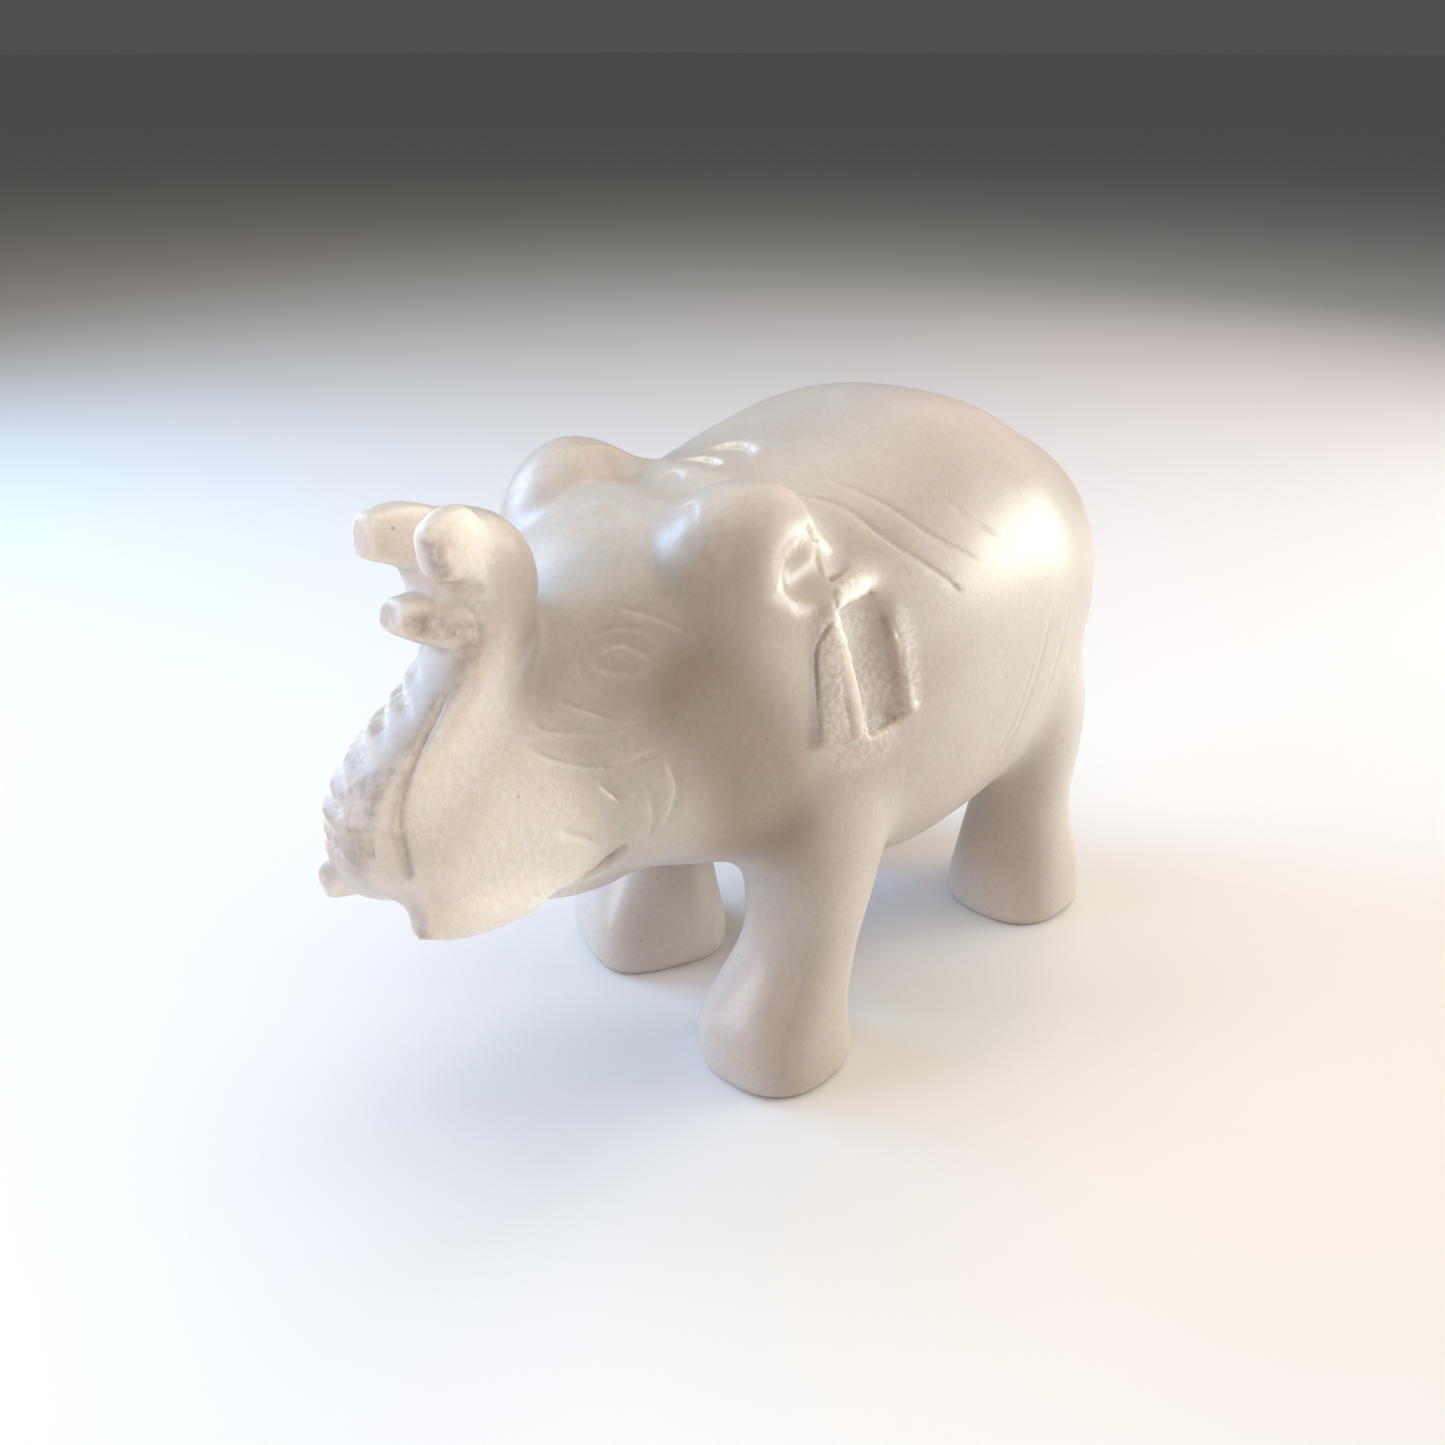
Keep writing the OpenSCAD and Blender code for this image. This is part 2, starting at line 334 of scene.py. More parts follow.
CHEEK = [
    ("groove", 0.7, 0.2, [(7.6, -32.6, 46.9), (9.5, -31, 46), (10.4, -29.8, 45.4)]),
    ("groove", 0.7, 0.08, [(9.5, -31, 46), (11.2, -29, 45.1), (13, -25.6, 45.2)]),
    ("groove", 0.7, 0.18, [(7, -34.8, 45.5), (8.2, -34, 44.8), (10.9, -30, 44.2), (12.4, -26.9, 44.5)]),
    (
        "groove", 0.8, 0.26,
        [(7.6, -36, 43.8), (9.3, -34.3, 42.6), (11.6, -30, 41.1), (13.3, -25.8, 41.9)],
    ),
    ("groove", 0.8, 0.3, [(11.2, -31.6, 40), (11.8, -29.8, 38)]),
    ("groove", 1.1, 0.36, [(10.1, -35.4, 36.6), (10.5, -33.9, 35.7), (10.9, -32.2, 34.8)]),
    ("groove", 0.7, 0.22, [(12.7, -27.3, 37.4), (12.8, -26.7, 35.6), (12.2, -26.8, 33.4)]),
    ("groove", 0.7, 0.22, [(13.4, -25.6, 40.4), (13.6, -24.7, 37.6), (12.8, -25.4, 34)]),
]
MOUTH = [
    ("hollow", 2.2, 0.8, [(11, -29.6, 32.4), (9.4, -31.2, 30), (8, -32.6, 28.6)]),
    ("groove", 0.7, 0.5, [(11.6, -29.2, 33), (10.2, -30.4, 31.2), (8.6, -32, 29.6)]),
]
FOREHEAD = [
    ("step", 1.4, 0.09, [(10.6, -18.9, 60), (9, -17.6, 60.8), (7.4, -17.8, 60.2)]),
    ("step", 1.3, 0.08, [(2.8, -20.6, 58), (2.6, -19.2, 58.8), (0.8, -18.5, 59)]),
    ("hollow", 1.6, 0.12, [(10.6, -20.2, 58.8), (12.2, -20.4, 57.8), (13.6, -20.2, 56.4)]),
]
EAR = [
    ("hollow", 7, 0.7, [(15.5, -14.6, 53.6), (16, -11.6, 54.2), (16.4, -8.2, 55), (16.4, -6, 55.2)]),
    ("step", 2.2, 0.6, [(16, -4.8, 56), (15.5, -8.2, 58.2), (15.5, -12.3, 57.2), (15.5, -14.9, 54.7)]),
    (
        "groove", 0.7, 0.2,
        [
            (17.4, -7.4, 52.6), (17.2, -9.4, 49.2), (17.2, -10.7, 47),
            (17.6, -10.5, 41.7), (17.9, -10.5, 38.2),
        ],
    ),
    ("groove", 0.7, 0.2, [(18.9, -8.8, 44.6), (19.2, -8.3, 41.4), (19.8, -7.7, 38.6)]),
    ("step", 3.4, 0.8, [(20, -6, 37.4), (20.1, -2.8, 37.5), (20.1, 0.4, 38)]),
    ("groove", 0.6, 0.14, [(20, 0.4, 38.2), (19.6, 0, 43), (18, -0.4, 47.6)]),
]
# Where the ear was sanded after it was cut: how far it reaches, in mm, and along what
SANDED = [
    (6.5, [(15.5, -14, 53.4), (16, -11, 54.2), (16.4, -8.4, 54.8)]),
    (3.4, [(16.4, -0.6, 50.6), (18.6, -0.2, 44), (19.4, 0.8, 38.6)]),
]


def crescent(y, radius):
    """An arc across the nape, open to the front."""
    return [
        (radius * cos(radians(turn)) - 0.8, y + radius * sin(radians(turn)), 70)
        for turn in (8, 50, 90, 130, 172)
    ]


DOWN = (0, 0, -1)
NAPE = [
    ("hollow", 9, 1.3, [(-9, -11.4, 70), (0, -12, 70), (9, -11.4, 70)], DOWN),
    ("step", 1.5, 0.45, crescent(-10.6, 1.4), DOWN),
    ("step", 1.7, 0.5, crescent(-6.4, 1.9), DOWN),
    ("step", 1.8, 0.5, crescent(-2.2, 2.3), DOWN),
]
BACK = [
    ("groove", 0.8, 0.18, [(8.6, 0, 59.4), (13, 2.8, 57.7), (17.4, 6.4, 54.1), (19.5, 11, 51)]),
    ("groove", 0.8, 0.22, [(8.6, -4, 58.8), (12, -0.6, 57.4), (16, 1.8, 54.2), (19.8, 7.9, 48.9)]),
    ("groove", 0.7, 0.14, [(16, 9.6, 56.8), (18, 12.2, 54.6), (19.4, 15.8, 52)]),
    ("groove", 0.8, 0.2, [(8, -6, 59), (11, -5.6, 58.8), (14.4, -6, 58.4), (17.4, -6.4, 57)]),
    ("groove", 1.1, 0.18, [(20.3, 30, 42), (20.6, 27.8, 35), (19.8, 24.8, 28)]),
    ("groove", 1.1, 0.18, [(20.8, 25, 42), (20.9, 23, 35), (19.5, 19.6, 26.6)]),
    ("groove", 0.9, 0.1, [(20.9, 22, 38), (20.4, 19.6, 31), (19.2, 16.4, 25.6)]),
]
TRUNK = [
    ("groove", 0.8, 0.3, [(3, -40.6, 49.6), (4, -44.4, 45.9), (5.4, -47.4, 41.4), (5.6, -47.2, 35.6)]),
    ("groove", 0.7, 0.25, [(2.7, -37.4, 55.6), (3.1, -36.9, 54), (3.8, -37.1, 52.2)]),
]
TIP = [("hollow", 6, -0.8, [(3.4, -41.4, 61.6), (3, -39, 62.8), (2, -36, 63.4)])]
AHEAD = (0, 1, 0)
WRINKLE_HEIGHTS = (49.6, 47.9, 46.3, 44.6, 42.7, 40.8, 38.9, 37.2)
WRINKLES = [
    (
        "step", 1.3, 0.34 + 0.1 * (k % 3),
        [(-0.6 + 0.8 * (k % 2), -60, z - 0.7), (-2.6, -60, z), (-5, -60, z + 0.8)], AHEAD,
    )
    for k, z in enumerate(WRINKLE_HEIGHTS)
]
# Dirt left in the cuts, and painted shade along the trunk's wrinkles: width mm, strength, points
STAINS_AND_SHADE = [
    (2.4, 0.8, [(3.8, -40.6, 61.2), (4.2, -41, 59)]),
    (3.4, 0.55, [(3.6, -39.4, 58.4), (3.8, -37.4, 56)]),
    (2.4, 0.75, [(1.2, -41.6, 54.6), (2.8, -39.4, 54), (3.6, -37.6, 53.4)]),
    (2.4, 0.6, [(3.4, -37.6, 52.2), (3, -40.6, 49.2), (3.8, -44.4, 45.6)]),
    (1.4, 0.5, [(3.8, -44.6, 45.4), (5, -47.4, 41.2), (5.4, -47.4, 36)]),
    (2.8, 0.8, [(6.8, -47.8, 31.4), (6.2, -48.2, 32.4)]),
    (2.6, 0.9, [(11, -29.8, 32.4), (9.4, -31.2, 30.2)]),
    (0.7, 1.0, [(17.4, -7.6, 52.6), (17.2, -9.5, 49.2), (17.2, -10.8, 47), (17.6, -10.6, 41.7)]),
    (0.8, 0.5, [(17.6, -10.6, 41.7), (17.9, -10.5, 38.2)]),
    (1.2, 0.5, [(18, -1.4, 48), (18.8, -1, 44), (19.2, -0.4, 39)]),
    (0.9, 0.6, [(17, -6.4, 53.4), (17, -4, 53.6), (16.6, -2, 52)]),
    (0.9, 0.8, [(19.5, 7.5, 49.3), (19.9, 8.1, 48.7)]),
    (6, 0.3, [(1.5, -45, 47), (1.5, -49, 42), (1.5, -50, 37)]),
]
# Painted shade: a dark line along the groove of each trunk wrinkle.
STAINS_AND_SHADE += [
    (0.9, 0.75, [(-0.8, -52, z - 0.9), (-3, -52, z - 0.1), (-5, -52, z + 0.6)])
    for z in WRINKLE_HEIGHTS
]
# Painted shade behind the cheek, beside the eye and in and below the ear's scoop, and patina where the
# wax has sunk in on the trunk: width mm, strength, points
PATINA_AND_SHADE = [
    (14, 0.85, [(13.6, -22, 46), (15, -19, 42), (15.2, -16.5, 37), (14, -14, 31)]),
    (12, 0.4, [(11, -27, 50), (12.4, -24, 46.6)]),
    (9, 0.35, [(15.6, -13.4, 53), (16.6, -9.6, 54.4)]),
    (14, 0.3, [(17, -8, 33), (16, -8, 27)]),
    (13, 0.55, [(0, -44, 49), (0, -49, 43), (0, -50, 36)]),
    (5, 0.5, [(4.4, -41.4, 61), (4.4, -39.6, 58)]),
    (5, 0.45, [(2.6, -41, 54), (4, -38, 53.6)]),
]
# Painted highlights on the ear's lit ledge, inner wall and rim, and on the pocket's floor against its
# shade, marked as white chiselled stone: width mm, strength, points
FRESH_AND_HIGHLIGHT = [
    (2.0, 1.0, [(16.2, -4.8, 55.8), (15.6, -8.2, 57.8), (15.6, -12.3, 56.8), (15.6, -14.7, 54.4)]),
    (3.6, 0.75, [(18, -9.6, 49), (18.4, -9.6, 44), (18.8, -9, 39.4)]),
    (2.2, 0.8, [(18, -6.8, 52), (17.4, -3, 52.6)]),
    (8, 0.5, [(16, -4.8, 49), (17.4, -4, 44), (18.5, -2.6, 39.4)]),
    (2, 0.7, [(18.4, 0.6, 48), (19.4, 1.2, 44), (20, 1.8, 39)]),
    (5, 0.4, [(19.6, -7, 36), (20, -2, 35.6)]),
]


# The polish gives way to bare stone over this stretch ahead of the middle, in mm, and
# reaches a little less far forward low down than high up.
POLISHED_TO = 30.5
BARE_FROM = 35.5
POLISH_LEAN = 0.25

# How far each region runs into the next where they meet, in mm; the rest stay crisp
CRISP = 0.5
BLENDED = {"torso": 7, "head": 5.5, "trunk": 3, "tail": 1.2, "lower_lip": 1.2}
BLENDED.update({"left_tusk": 1.2, "right_tusk": 1.2})
BLENDED.update({name: 7 for name in LEGS})
# Rounds of smoothing: the flats left by the frame, where regions meet, the trunk, where the
# ears were sanded, and the whole skin at the end
FLATS, MEETINGS, TRUNK_EDGES, SANDING, LAST = 130, 330, 16, 170, 5

# Each lamp: its name, its place, width and height in metres, its power in watts, its colour
LAMPS = (
    ("window_light", (-0.31, -0.12, 0.22), 0.2, 0.2, 1.2, (0.38, 0.65, 1.0)),
    ("front_light", (-0.2, -0.32, 0.12), 0.15, 0.15, 0.7, (0.9, 0.86, 1.0)),
    ("warm_light", (0.2, 0.31, 0.05), 0.24, 0.14, 0.85, (0.96, 1.0, 0.9)),
    ("side_light", (0.3, 0.24, 0.12), 0.3, 0.3, 0.6, (1.0, 0.94, 0.94)),
    ("ceiling_light", (0, 0.05, 0.5), 0.6, 0.6, 2.2, (1.0, 0.96, 0.86)),
    ("room_light", (0.25, -0.3, 0.25), 0.25, 0.25, 0.3, (1.0, 0.8, 0.74)),
    ("wall_light", (-0.05, 0.4, 0.25), 0.3, 0.3, 0.3, (1.0, 0.7, 0.78)),
)
LAMPS_AIM = (0, 0, 0.035)
FLOOR_SIZE = 40
ROOM_GLOW = 0.08
CAMERA_PLACE = (0.091, -0.1049, 0.096)
CAMERA_TURN = (radians(65), 0, radians(42))
CAMERA_LENS = 36.125


# ------------------------------------------------------------------ sizes and colours
class ElephantSizes(bpy.types.PropertyGroup):
    """How finely the block is worked."""

    grain: FloatProperty(
        name="Skin spacing", description="Distance between points of the plain skin",
        default=0.0003, min=0.00025, max=0.001, unit="LENGTH", precision=5,
    )
    glow_depth: FloatProperty(
        name="Glow depth", description="How far light travels inside the stone",
        default=0.0024, min=0.0005, max=0.006, unit="LENGTH", precision=5,
    )


class ElephantColours(bpy.types.PropertyGroup):
    """The stone's colours, as sRGB hex."""

    stone: StringProperty(name="Stone", description="Polished body", default="cbc3ba")
    warm: StringProperty(name="Warm cloud", description="Warmer drifts in the stone", default="c3b8ab")
    chalk: StringProperty(name="Unpolished", description="Trunk and lips", default="eee7dc")
    grime_and_shade: StringProperty(name="Grime and shade", description="Dirt and painted shade in the trunk's hollows", default="7d6c5a")
    patina_and_shade: StringProperty(name="Patina and shade", description="Painted shade, and where hands have darkened it", default="a5927f")
    fresh_and_highlight: StringProperty(name="Fresh cut and highlight", description="Where the chisel left white, and painted highlights on the ear", default="f5f0e6")
    speck: StringProperty(name="Specks", description="Dirt in the pits", default="6b6056")
    floor: StringProperty(name="Floor", description="Ground under the figure", default="e8e6e2")


class SkinSteps:
    """What the carving steps share."""

    bl_options = {"REGISTER"}


class ELEPHANT_OT_block(SkinSteps, bpy.types.Operator):
    """Joins the frame's regions into one block of stone with one smooth skin"""

    bl_idname = "elephant.block"
    bl_label = "Block"

    def execute(self, context):
        block = block_from(REGIONS, SKIN)
        modified(
            block, "REMESH", mode="VOXEL",
            voxel_size=context.scene.elephant_sizes.grain, use_smooth_shade=True,
        )
        keep_largest_shell(block)
        soften(block)
        return {"FINISHED"}


def eased(thing, share, rounds):
    """Smooths the skin, each point by its own share, as the Smooth tool does."""
    group = thing.vertex_groups.new(name="share")
    levels = np.clip((share * 20).round().astype(int), 0, 20)
    for level in range(1, 21):
        chosen = np.nonzero(levels == level)[0]
        if len(chosen):
            group.add(chosen.tolist(), level / 20, "REPLACE")
    modified(thing, "SMOOTH", factor=0.5, iterations=rounds, vertex_group="share")
    thing.vertex_groups.clear()


def gaps_to(regions, points, far=9.0):
    """Each point's distance to each region's own skin, in mm; far where it is further off."""
    depsgraph = bpy.context.evaluated_depsgraph_get()
    gaps = np.full((len(regions), len(points)), far)
    for row, name in enumerate(regions):
        low, high = (np.array(corner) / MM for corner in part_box(name))
        close = ((points > low - far) & (points < high + far)).all(1)
        tree = BVHTree.FromObject(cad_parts[name], depsgraph)
        for k in np.nonzero(close)[0]:
            hit = tree.find_nearest(points[k] * MM, far * MM)
            if hit[0] is not None:
                gaps[row, k] = hit[3] / MM
    return gaps


def soften(block):
    """Rounds the flats left by the frame and runs each region into the next."""
    points = read_points(block)
    sample = np.arange(len(points))
    own = np.array([BLENDED.get(name, CRISP) for name in REGIONS])
    gaps = gaps_to(REGIONS, points)
    order = np.argsort(gaps, axis=0)
    first, second = order[0], order[1]
    pair = np.minimum(own[first], own[second])
    apart = gaps[second, sample]
    crisp = [REGIONS.index(name) for name in SMALL_REGIONS + ["trunk"]]
    fine = fade(gaps[crisp].min(0), 0.5, 2.5)
    floor = fade(points[:, 2], 0.6, 3)
    eased(block, (1 - fine) * (1 - 0.9 * floor), FLATS)
    nape = fade(np.abs(points[:, 0]), 7, 11) * fade(-points[:, 2], -58, -54)
    junction = fade(apart / pair, 0.25, 1) * (1 - floor) * (pair > CRISP) * (1 - 0.9 * nape)
    eased(block, junction, MEETINGS)
    rounded = fade(gaps[REGIONS.index("trunk")], 0.3, 1.5)
    eased(block, rounded, TRUNK_EDGES)
    rub("sanded", [(reach * 2, 1, path) for reach, path in SANDED])
    eased(block, read_marks(block, "sanded"), SANDING)
    block.data.attributes.remove(block.data.attributes["sanded"])
    eased(block, 1 - 0.8 * floor, LAST)


class ELEPHANT_OT_ears(SkinSteps, bpy.types.Operator):
    """Cuts the ledge, the flap and the pocket of both ears"""

    bl_idname = "elephant.ears"
    bl_label = "Ears"

    def execute(self, context):
        carve(EAR)
        return {"FINISHED"}


class ELEPHANT_OT_face(SkinSteps, bpy.types.Operator):
    """Cuts the eyes, the cheek lines, the mouth and the forehead"""

    bl_idname = "elephant.face"
    bl_label = "Face"

    def execute(self, context):
        carve(EYE + CHEEK + MOUTH)
        carve(FOREHEAD)
        return {"FINISHED"}


class ELEPHANT_OT_trunk(SkinSteps, bpy.types.Operator):
    """Cuts the side lines and the wrinkles of the trunk"""

    bl_idname = "elephant.trunk"
    bl_label = "Trunk"

    def execute(self, context):
        carve(TRUNK)
        carve(TIP + WRINKLES, both_sides=False)
        return {"FINISHED"}


class ELEPHANT_OT_back(SkinSteps, bpy.types.Operator):
    """Cuts the crescents of the nape and the long lines of the back and flanks"""

    bl_idname = "elephant.back"
    bl_label = "Back"

    def execute(self, context):
        carve(NAPE, both_sides=False)
        carve(BACK)
        return {"FINISHED"}


def linear(code):
    """An sRGB hex colour as linear red, green, blue and alpha."""
    parts = [int(code[k : k + 2], 16) / 255 for k in (0, 2, 4)]
    return (*(p / 12.92 if p <= 0.04045 else ((p + 0.055) / 1.055) ** 2.4 for p in parts), 1)


def add(tree, kind, sockets=None, **settings):
    """Adds a shader node with its settings, and sets or links its inputs."""
    node = tree.nodes.new("ShaderNode" + kind)
    for name, value in settings.items():
        setattr(node, name, value)
    for name, value in (sockets or {}).items():
        if isinstance(value, bpy.types.NodeSocket):
            tree.links.new(value, node.inputs[name])
        else:
            node.inputs[name].default_value = value
    return node


def new_material(name):
    """A material with nothing in it but an output."""
    material = bpy.data.materials.new(name)
    material.use_nodes = True
    material.node_tree.nodes.clear()
    return material, add(material.node_tree, "OutputMaterial")


def stone_colour(tree, mm, grain, colours):
    """The stone's colour under its marks, with painted shade in its patina and painted highlights on
    the ear among its fresh cuts, and how freshly it is cut.
    """
    # Drifts of warmer stone some 16 mm across, as the block was laid down.
    drift = add(
        tree, "TexNoise", {"Vector": mm, "Scale": 1 / 16, "Detail": 3, "Roughness": 0.55}
    ).outputs["Fac"]
    drift = add(
        tree, "MapRange", {"Value": drift, "From Min": 0.38, "From Max": 0.66}
    ).outputs["Result"]
    colour = add(
        tree, "Mix", {"Factor": drift, 6: linear(colours.stone), 7: linear(colours.warm)},
        data_type="RGBA",
    ).outputs[2]
    # The patina mark also holds painted shade behind the cheek and around the ear.
    for name, code in (("patina_and_shade", colours.patina_and_shade), ("chalk", colours.chalk)):
        strength = add(tree, "Attribute", attribute_name=name).outputs["Fac"]
        colour = add(
            tree, "Mix", {"Factor": strength, 6: colour, 7: linear(code)}, data_type="RGBA"
        ).outputs[2]
    # Chisel marks, and the painted highlights on the ear, break up into scratches some 0.5 mm long.
    fresh_and_highlight = add(tree, "Attribute", attribute_name="cut").outputs["Fac"]
    scratch = add(tree, "TexNoise", {"Vector": mm, "Scale": 1 / 0.5, "Detail": 2}).outputs["Fac"]
    scratch = add(
        tree, "MapRange",
        {"Value": scratch, "From Min": 0.35, "From Max": 0.65, "To Min": 0.25},
    ).outputs["Result"]
    fresh_and_highlight = add(tree, "Math", {0: fresh_and_highlight, 1: scratch}, operation="MULTIPLY").outputs[0]
    colour = add(
        tree, "Mix", {"Factor": fresh_and_highlight, 6: colour, 7: linear(colours.fresh_and_highlight)}, data_type="RGBA"
    ).outputs[2]
    shade = add(
        tree, "MapRange",
        {"Value": grain, "From Min": 0.3, "From Max": 0.7, "To Min": 0.93, "To Max": 1.04},
    ).outputs["Result"]
    colour = add(
        tree, "Mix", {"Factor": 1.0, 6: colour, 7: shade}, data_type="RGBA", blend_type="MULTIPLY"
    ).outputs[2]
    return colour, fresh_and_highlight


def dirtied_and_shaded(tree, mm, colour, colours):
    """The colour with dirt in its rough places and pits, and painted shade in the trunk's wrinkles."""
    # Dirt rubbed into the rough places, with painted shade in the trunk's wrinkles, in streaks some 1.6
    # mm long.
    grime_and_shade = add(tree, "Attribute", attribute_name="grime_and_shade").outputs["Fac"]
    streak = add(
        tree, "TexNoise", {"Vector": mm, "Scale": 1 / 1.6, "Detail": 5, "Roughness": 0.7}
    ).outputs["Fac"]
    streak = add(
        tree, "MapRange", {"Value": streak, "From Min": 0.3, "From Max": 0.75}
    ).outputs["Result"]
    dirt_and_shade = add(tree, "Math", {0: grime_and_shade, 1: streak}, operation="MULTIPLY").outputs[0]
    colour = add(
        tree, "Mix", {"Factor": dirt_and_shade, 6: colour, 7: linear(colours.grime_and_shade)}, data_type="RGBA"
    ).outputs[2]
    # Pits up to 0.4 mm across, one every 5.5 mm or so, that hold a little black.
    pit = add(tree, "TexVoronoi", {"Vector": mm, "Scale": 1 / 5.5}).outputs["Distance"]
    pit = add(
        tree, "MapRange",
        {"Value": pit, "From Min": 0.01, "From Max": 0.04, "To Min": 0.5, "To Max": 0},
    ).outputs["Result"]
    return add(
        tree, "Mix", {"Factor": pit, 6: colour, 7: linear(colours.speck)}, data_type="RGBA"
    ).outputs[2]


def relief(tree, place, grain, chalk):
    """Fine sanding marks on the polish, and the crystals' own roughness where it is bare."""
    # Sanding marks about 0.25 mm apart, longest along the body.
    sanded = add(
        tree, "Mapping", {"Vector": place, "Scale": (4000, 500, 2500)}
    ).outputs["Vector"]
    marks = add(tree, "TexNoise", {"Vector": sanded, "Scale": 1.0, "Detail": 2}).outputs["Fac"]
    fine = add(
        tree, "Bump", {"Height": marks, "Strength": 0.08, "Distance": 0.0002}
    ).outputs["Normal"]
    raw = add(
        tree, "MapRange", {"Value": chalk, "To Min": 0.2, "To Max": 0.8}
    ).outputs["Result"]
    return add(
        tree, "Bump", {"Height": grain, "Normal": fine, "Strength": raw, "Distance": 0.00015}
    ).outputs["Normal"]


def hand_polished_alabaster(colours, glow_depth):
    """Alabaster, sanded and waxed: light sinks in, so edges glow and the skin looks soft."""
    material, output = new_material("hand_polished_alabaster")
    tree = material.node_tree
    place = add(tree, "TexCoord").outputs["Object"]
    mm = add(tree, "Mapping", {"Vector": place, "Scale": (1000, 1000, 1000)}).outputs["Vector"]
    # Crystals of about 0.6 mm, drawn a little coarse so that they show.
    grain = add(
        tree, "TexNoise", {"Vector": mm, "Scale": 1 / 0.6, "Detail": 3, "Roughness": 0.65}
    ).outputs["Fac"]
    colour, fresh_and_highlight = stone_colour(tree, mm, grain, colours)
    colour = dirtied_and_shaded(tree, mm, colour, colours)
    # Bare and freshly cut stone, and the painted highlights on the ear, are duller than the polish.
    chalk = add(tree, "Attribute", attribute_name="chalk").outputs["Fac"]
    rough = add(
        tree, "MapRange", {"Value": chalk, "To Min": 0.37, "To Max": 0.65}
    ).outputs["Result"]
    rough = add(
        tree, "MapRange", {"Value": fresh_and_highlight, "To Min": rough, "To Max": 0.55}
    ).outputs["Result"]
    surface = add(
        tree, "BsdfPrincipled",
        {
            "Base Color": colour, "Roughness": rough, "IOR": 1.53,
            "Normal": relief(tree, place, grain, chalk),
            "Subsurface Weight": 0.85, "Subsurface Radius": (1.0, 0.72, 0.5),
            "Subsurface Scale": glow_depth, "Coat Weight": 0.06, "Coat Roughness": 0.25,
        },
    )
    tree.links.new(surface.outputs["BSDF"], output.inputs["Surface"])
    return material


def matt_floor(colours):
    """A pale painted board, matt enough to hold only a soft shadow."""
    material, output = new_material("matt_floor")
    tree = material.node_tree
    matt = add(
        tree, "BsdfPrincipled", {"Base Color": linear(colours.floor), "Roughness": 0.45}
    )
    tree.links.new(matt.outputs["BSDF"], output.inputs["Surface"])
    return material


class ELEPHANT_OT_finish(SkinSteps, bpy.types.Operator):
    """Marks rough and dirty places, paints shade and highlights into the marks, polishes the skin and
    gives it its stone
    """

    bl_idname = "elephant.finish"
    bl_label = "Finish"

    def execute(self, context):
        block = bpy.data.objects[SKIN]
        points = read_points(block)
        everywhere = np.arange(len(points))
        forward = -points[:, 1] - POLISH_LEAN * np.clip(points[:, 2] - 40, -20, 8)
        sideways = np.abs(read_normals(block)[:, 0])
        bare = (1 - fade(forward, POLISHED_TO, BARE_FROM)) * (1 - 0.75 * fade(sideways, 0.1, 0.6))
        note(block, "chalk", everywhere, bare)
        # Dirt, and painted shade along the trunk's wrinkles.
        rub("grime_and_shade", STAINS_AND_SHADE)
        # Painted highlights on the ear's lit faces join the chisel's whitening in the cut mark.
        rub("cut", FRESH_AND_HIGHLIGHT)
        # Painted shade behind the cheek and around the ear goes in with the patina.
        rub("patina_and_shade", PATINA_AND_SHADE)
        for polygon in block.data.polygons:
            polygon.use_smooth = True
        faces = 2 * len(block.data.polygons)
        modified(block, "TRIANGULATE")
        modified(block, "DECIMATE", ratio=min(1, MOST_FACES / faces))
        block.data.materials.clear()
        block.data.materials.append(
            hand_polished_alabaster(
                context.scene.elephant_colours, context.scene.elephant_sizes.glow_depth
            )
        )
        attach(block, "root")
        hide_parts(*REGIONS)
        return {"FINISHED"}


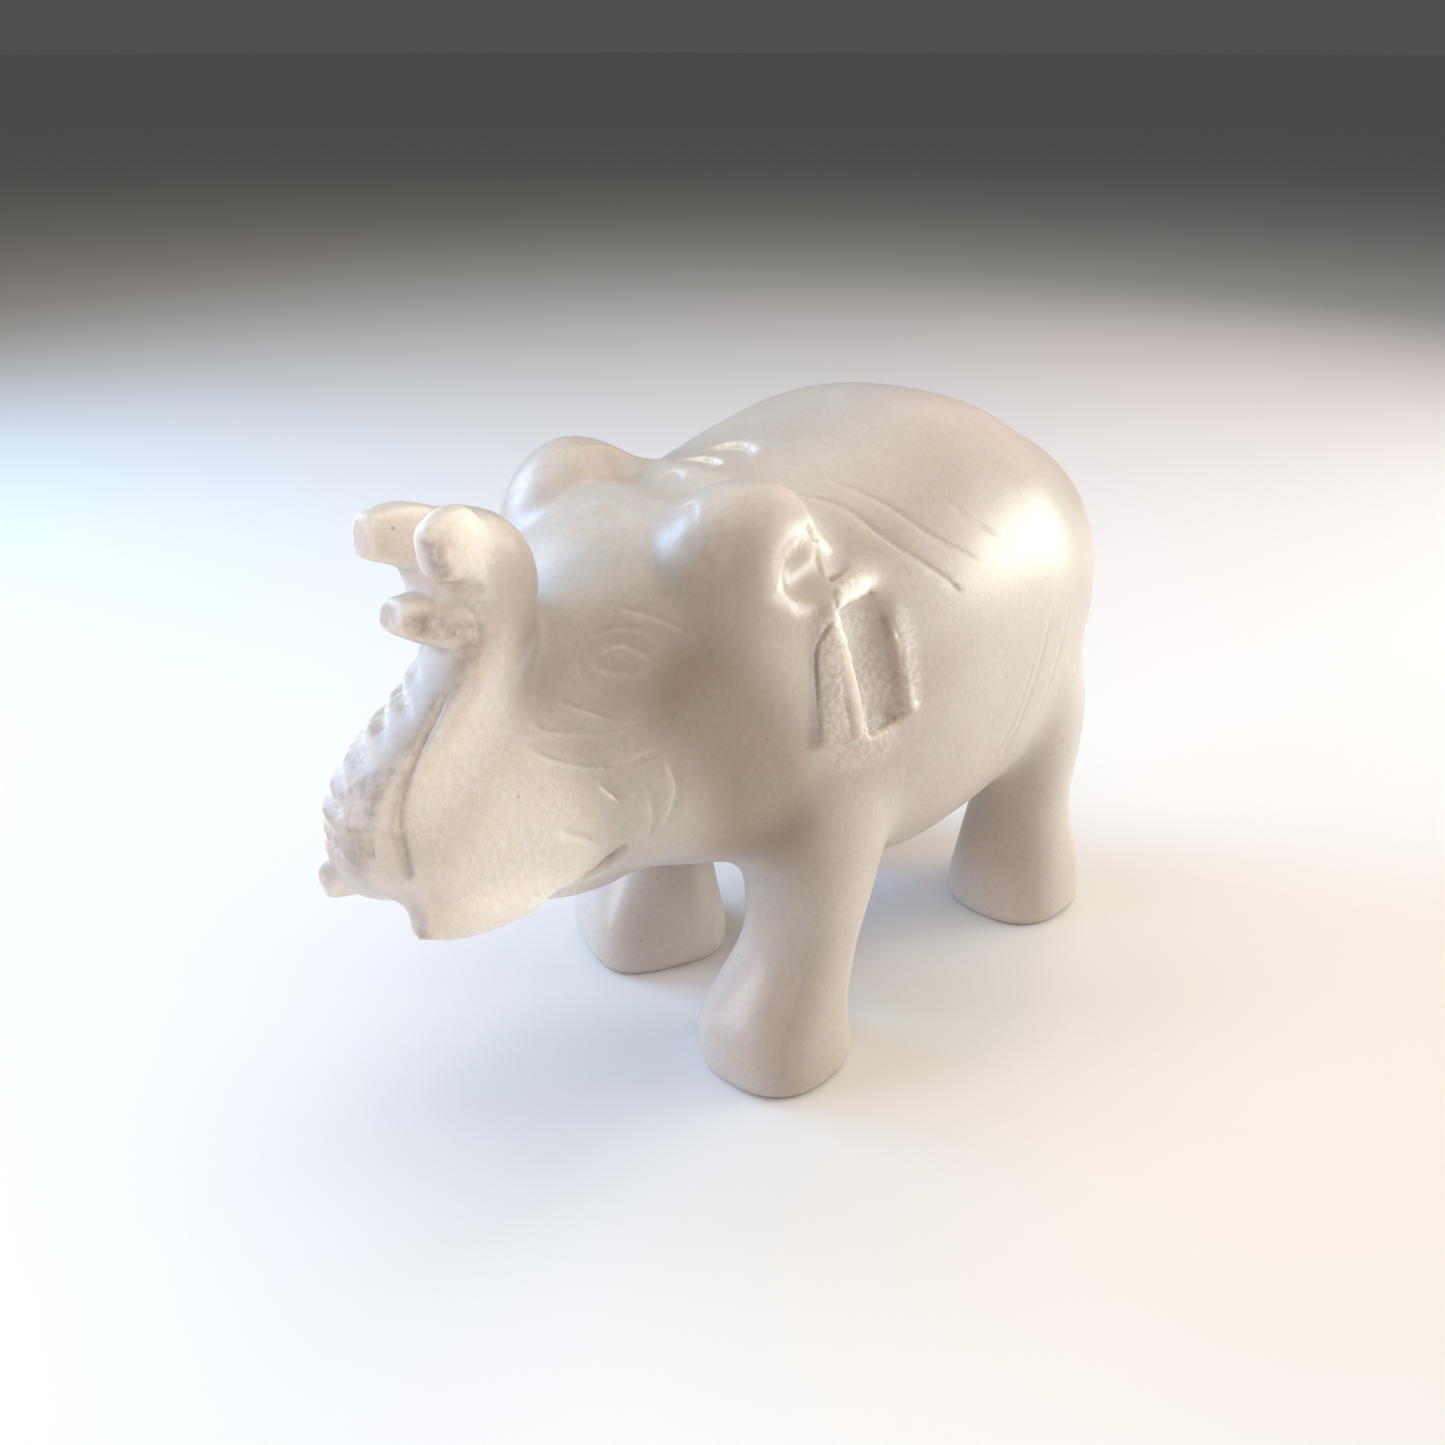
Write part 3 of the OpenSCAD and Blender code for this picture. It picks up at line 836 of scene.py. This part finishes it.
class ELEPHANT_OT_stage(bpy.types.Operator):
    """Sets the floor, the soft lights and the camera"""

    bl_idname = "elephant.stage"
    bl_label = "Stage"

    def execute(self, context):
        scene = context.scene
        bpy.ops.object.select_all(action="DESELECT")
        bpy.ops.mesh.primitive_plane_add(size=FLOOR_SIZE, location=(0, 0, 0))
        floor = context.active_object
        floor.name = "floor"
        floor.data.materials.append(matt_floor(scene.elephant_colours))
        for name, place, width, height, power, colour in LAMPS:
            bpy.ops.object.light_add(type="AREA", location=place)
            lamp = context.active_object
            lamp.name = name
            lamp.data.shape = "RECTANGLE"
            lamp.data.size = width
            lamp.data.size_y = height
            lamp.data.energy = power
            lamp.data.color = colour
            aim = Vector(LAMPS_AIM) - lamp.location
            lamp.rotation_euler = aim.to_track_quat("-Z", "Y").to_euler()
        world = bpy.data.worlds.new("soft_room")
        world.use_nodes = True
        sky = world.node_tree.nodes["Background"]
        sky.inputs["Color"].default_value = (1.0, 0.98, 0.96, 1)
        sky.inputs["Strength"].default_value = ROOM_GLOW
        scene.world = world
        bpy.ops.object.camera_add(location=CAMERA_PLACE, rotation=CAMERA_TURN)
        camera = context.active_object
        camera.name = "camera"
        camera.data.sensor_width = 36
        camera.data.lens = CAMERA_LENS
        camera.data.clip_start = 0.005
        scene.camera = camera
        scene.view_settings.view_transform = "Standard"
        return {"FINISHED"}


class ELEPHANT_PT_panel(bpy.types.Panel):
    """The steps and settings of the carved elephant"""

    bl_idname = "ELEPHANT_PT_panel"
    bl_label = "Carved Elephant"
    bl_space_type = "VIEW_3D"
    bl_region_type = "UI"
    bl_category = "Elephant"

    def draw(self, context):
        layout = self.layout
        for group in (context.scene.elephant_sizes, context.scene.elephant_colours):
            for name in group.__annotations__:
                layout.prop(group, name)
        for step in STEPS:
            layout.operator(step.bl_idname)


STEPS = [
    ELEPHANT_OT_block,
    ELEPHANT_OT_ears,
    ELEPHANT_OT_face,
    ELEPHANT_OT_trunk,
    ELEPHANT_OT_back,
    ELEPHANT_OT_finish,
    ELEPHANT_OT_stage,
]
CLASSES = [ElephantSizes, ElephantColours, *STEPS, ELEPHANT_PT_panel]


def register():
    for entry in CLASSES:
        bpy.utils.register_class(entry)
    bpy.types.Scene.elephant_sizes = PointerProperty(type=ElephantSizes)
    bpy.types.Scene.elephant_colours = PointerProperty(type=ElephantColours)


def unregister():
    del bpy.types.Scene.elephant_colours
    del bpy.types.Scene.elephant_sizes
    for entry in reversed(CLASSES):
        bpy.utils.unregister_class(entry)


def main():
    register()
    bpy.ops.elephant.block()
    bpy.ops.elephant.ears()
    bpy.ops.elephant.face()
    bpy.ops.elephant.trunk()
    bpy.ops.elephant.back()
    bpy.ops.elephant.finish()
    bpy.ops.elephant.stage()


if __name__ == "__main__":
    main()
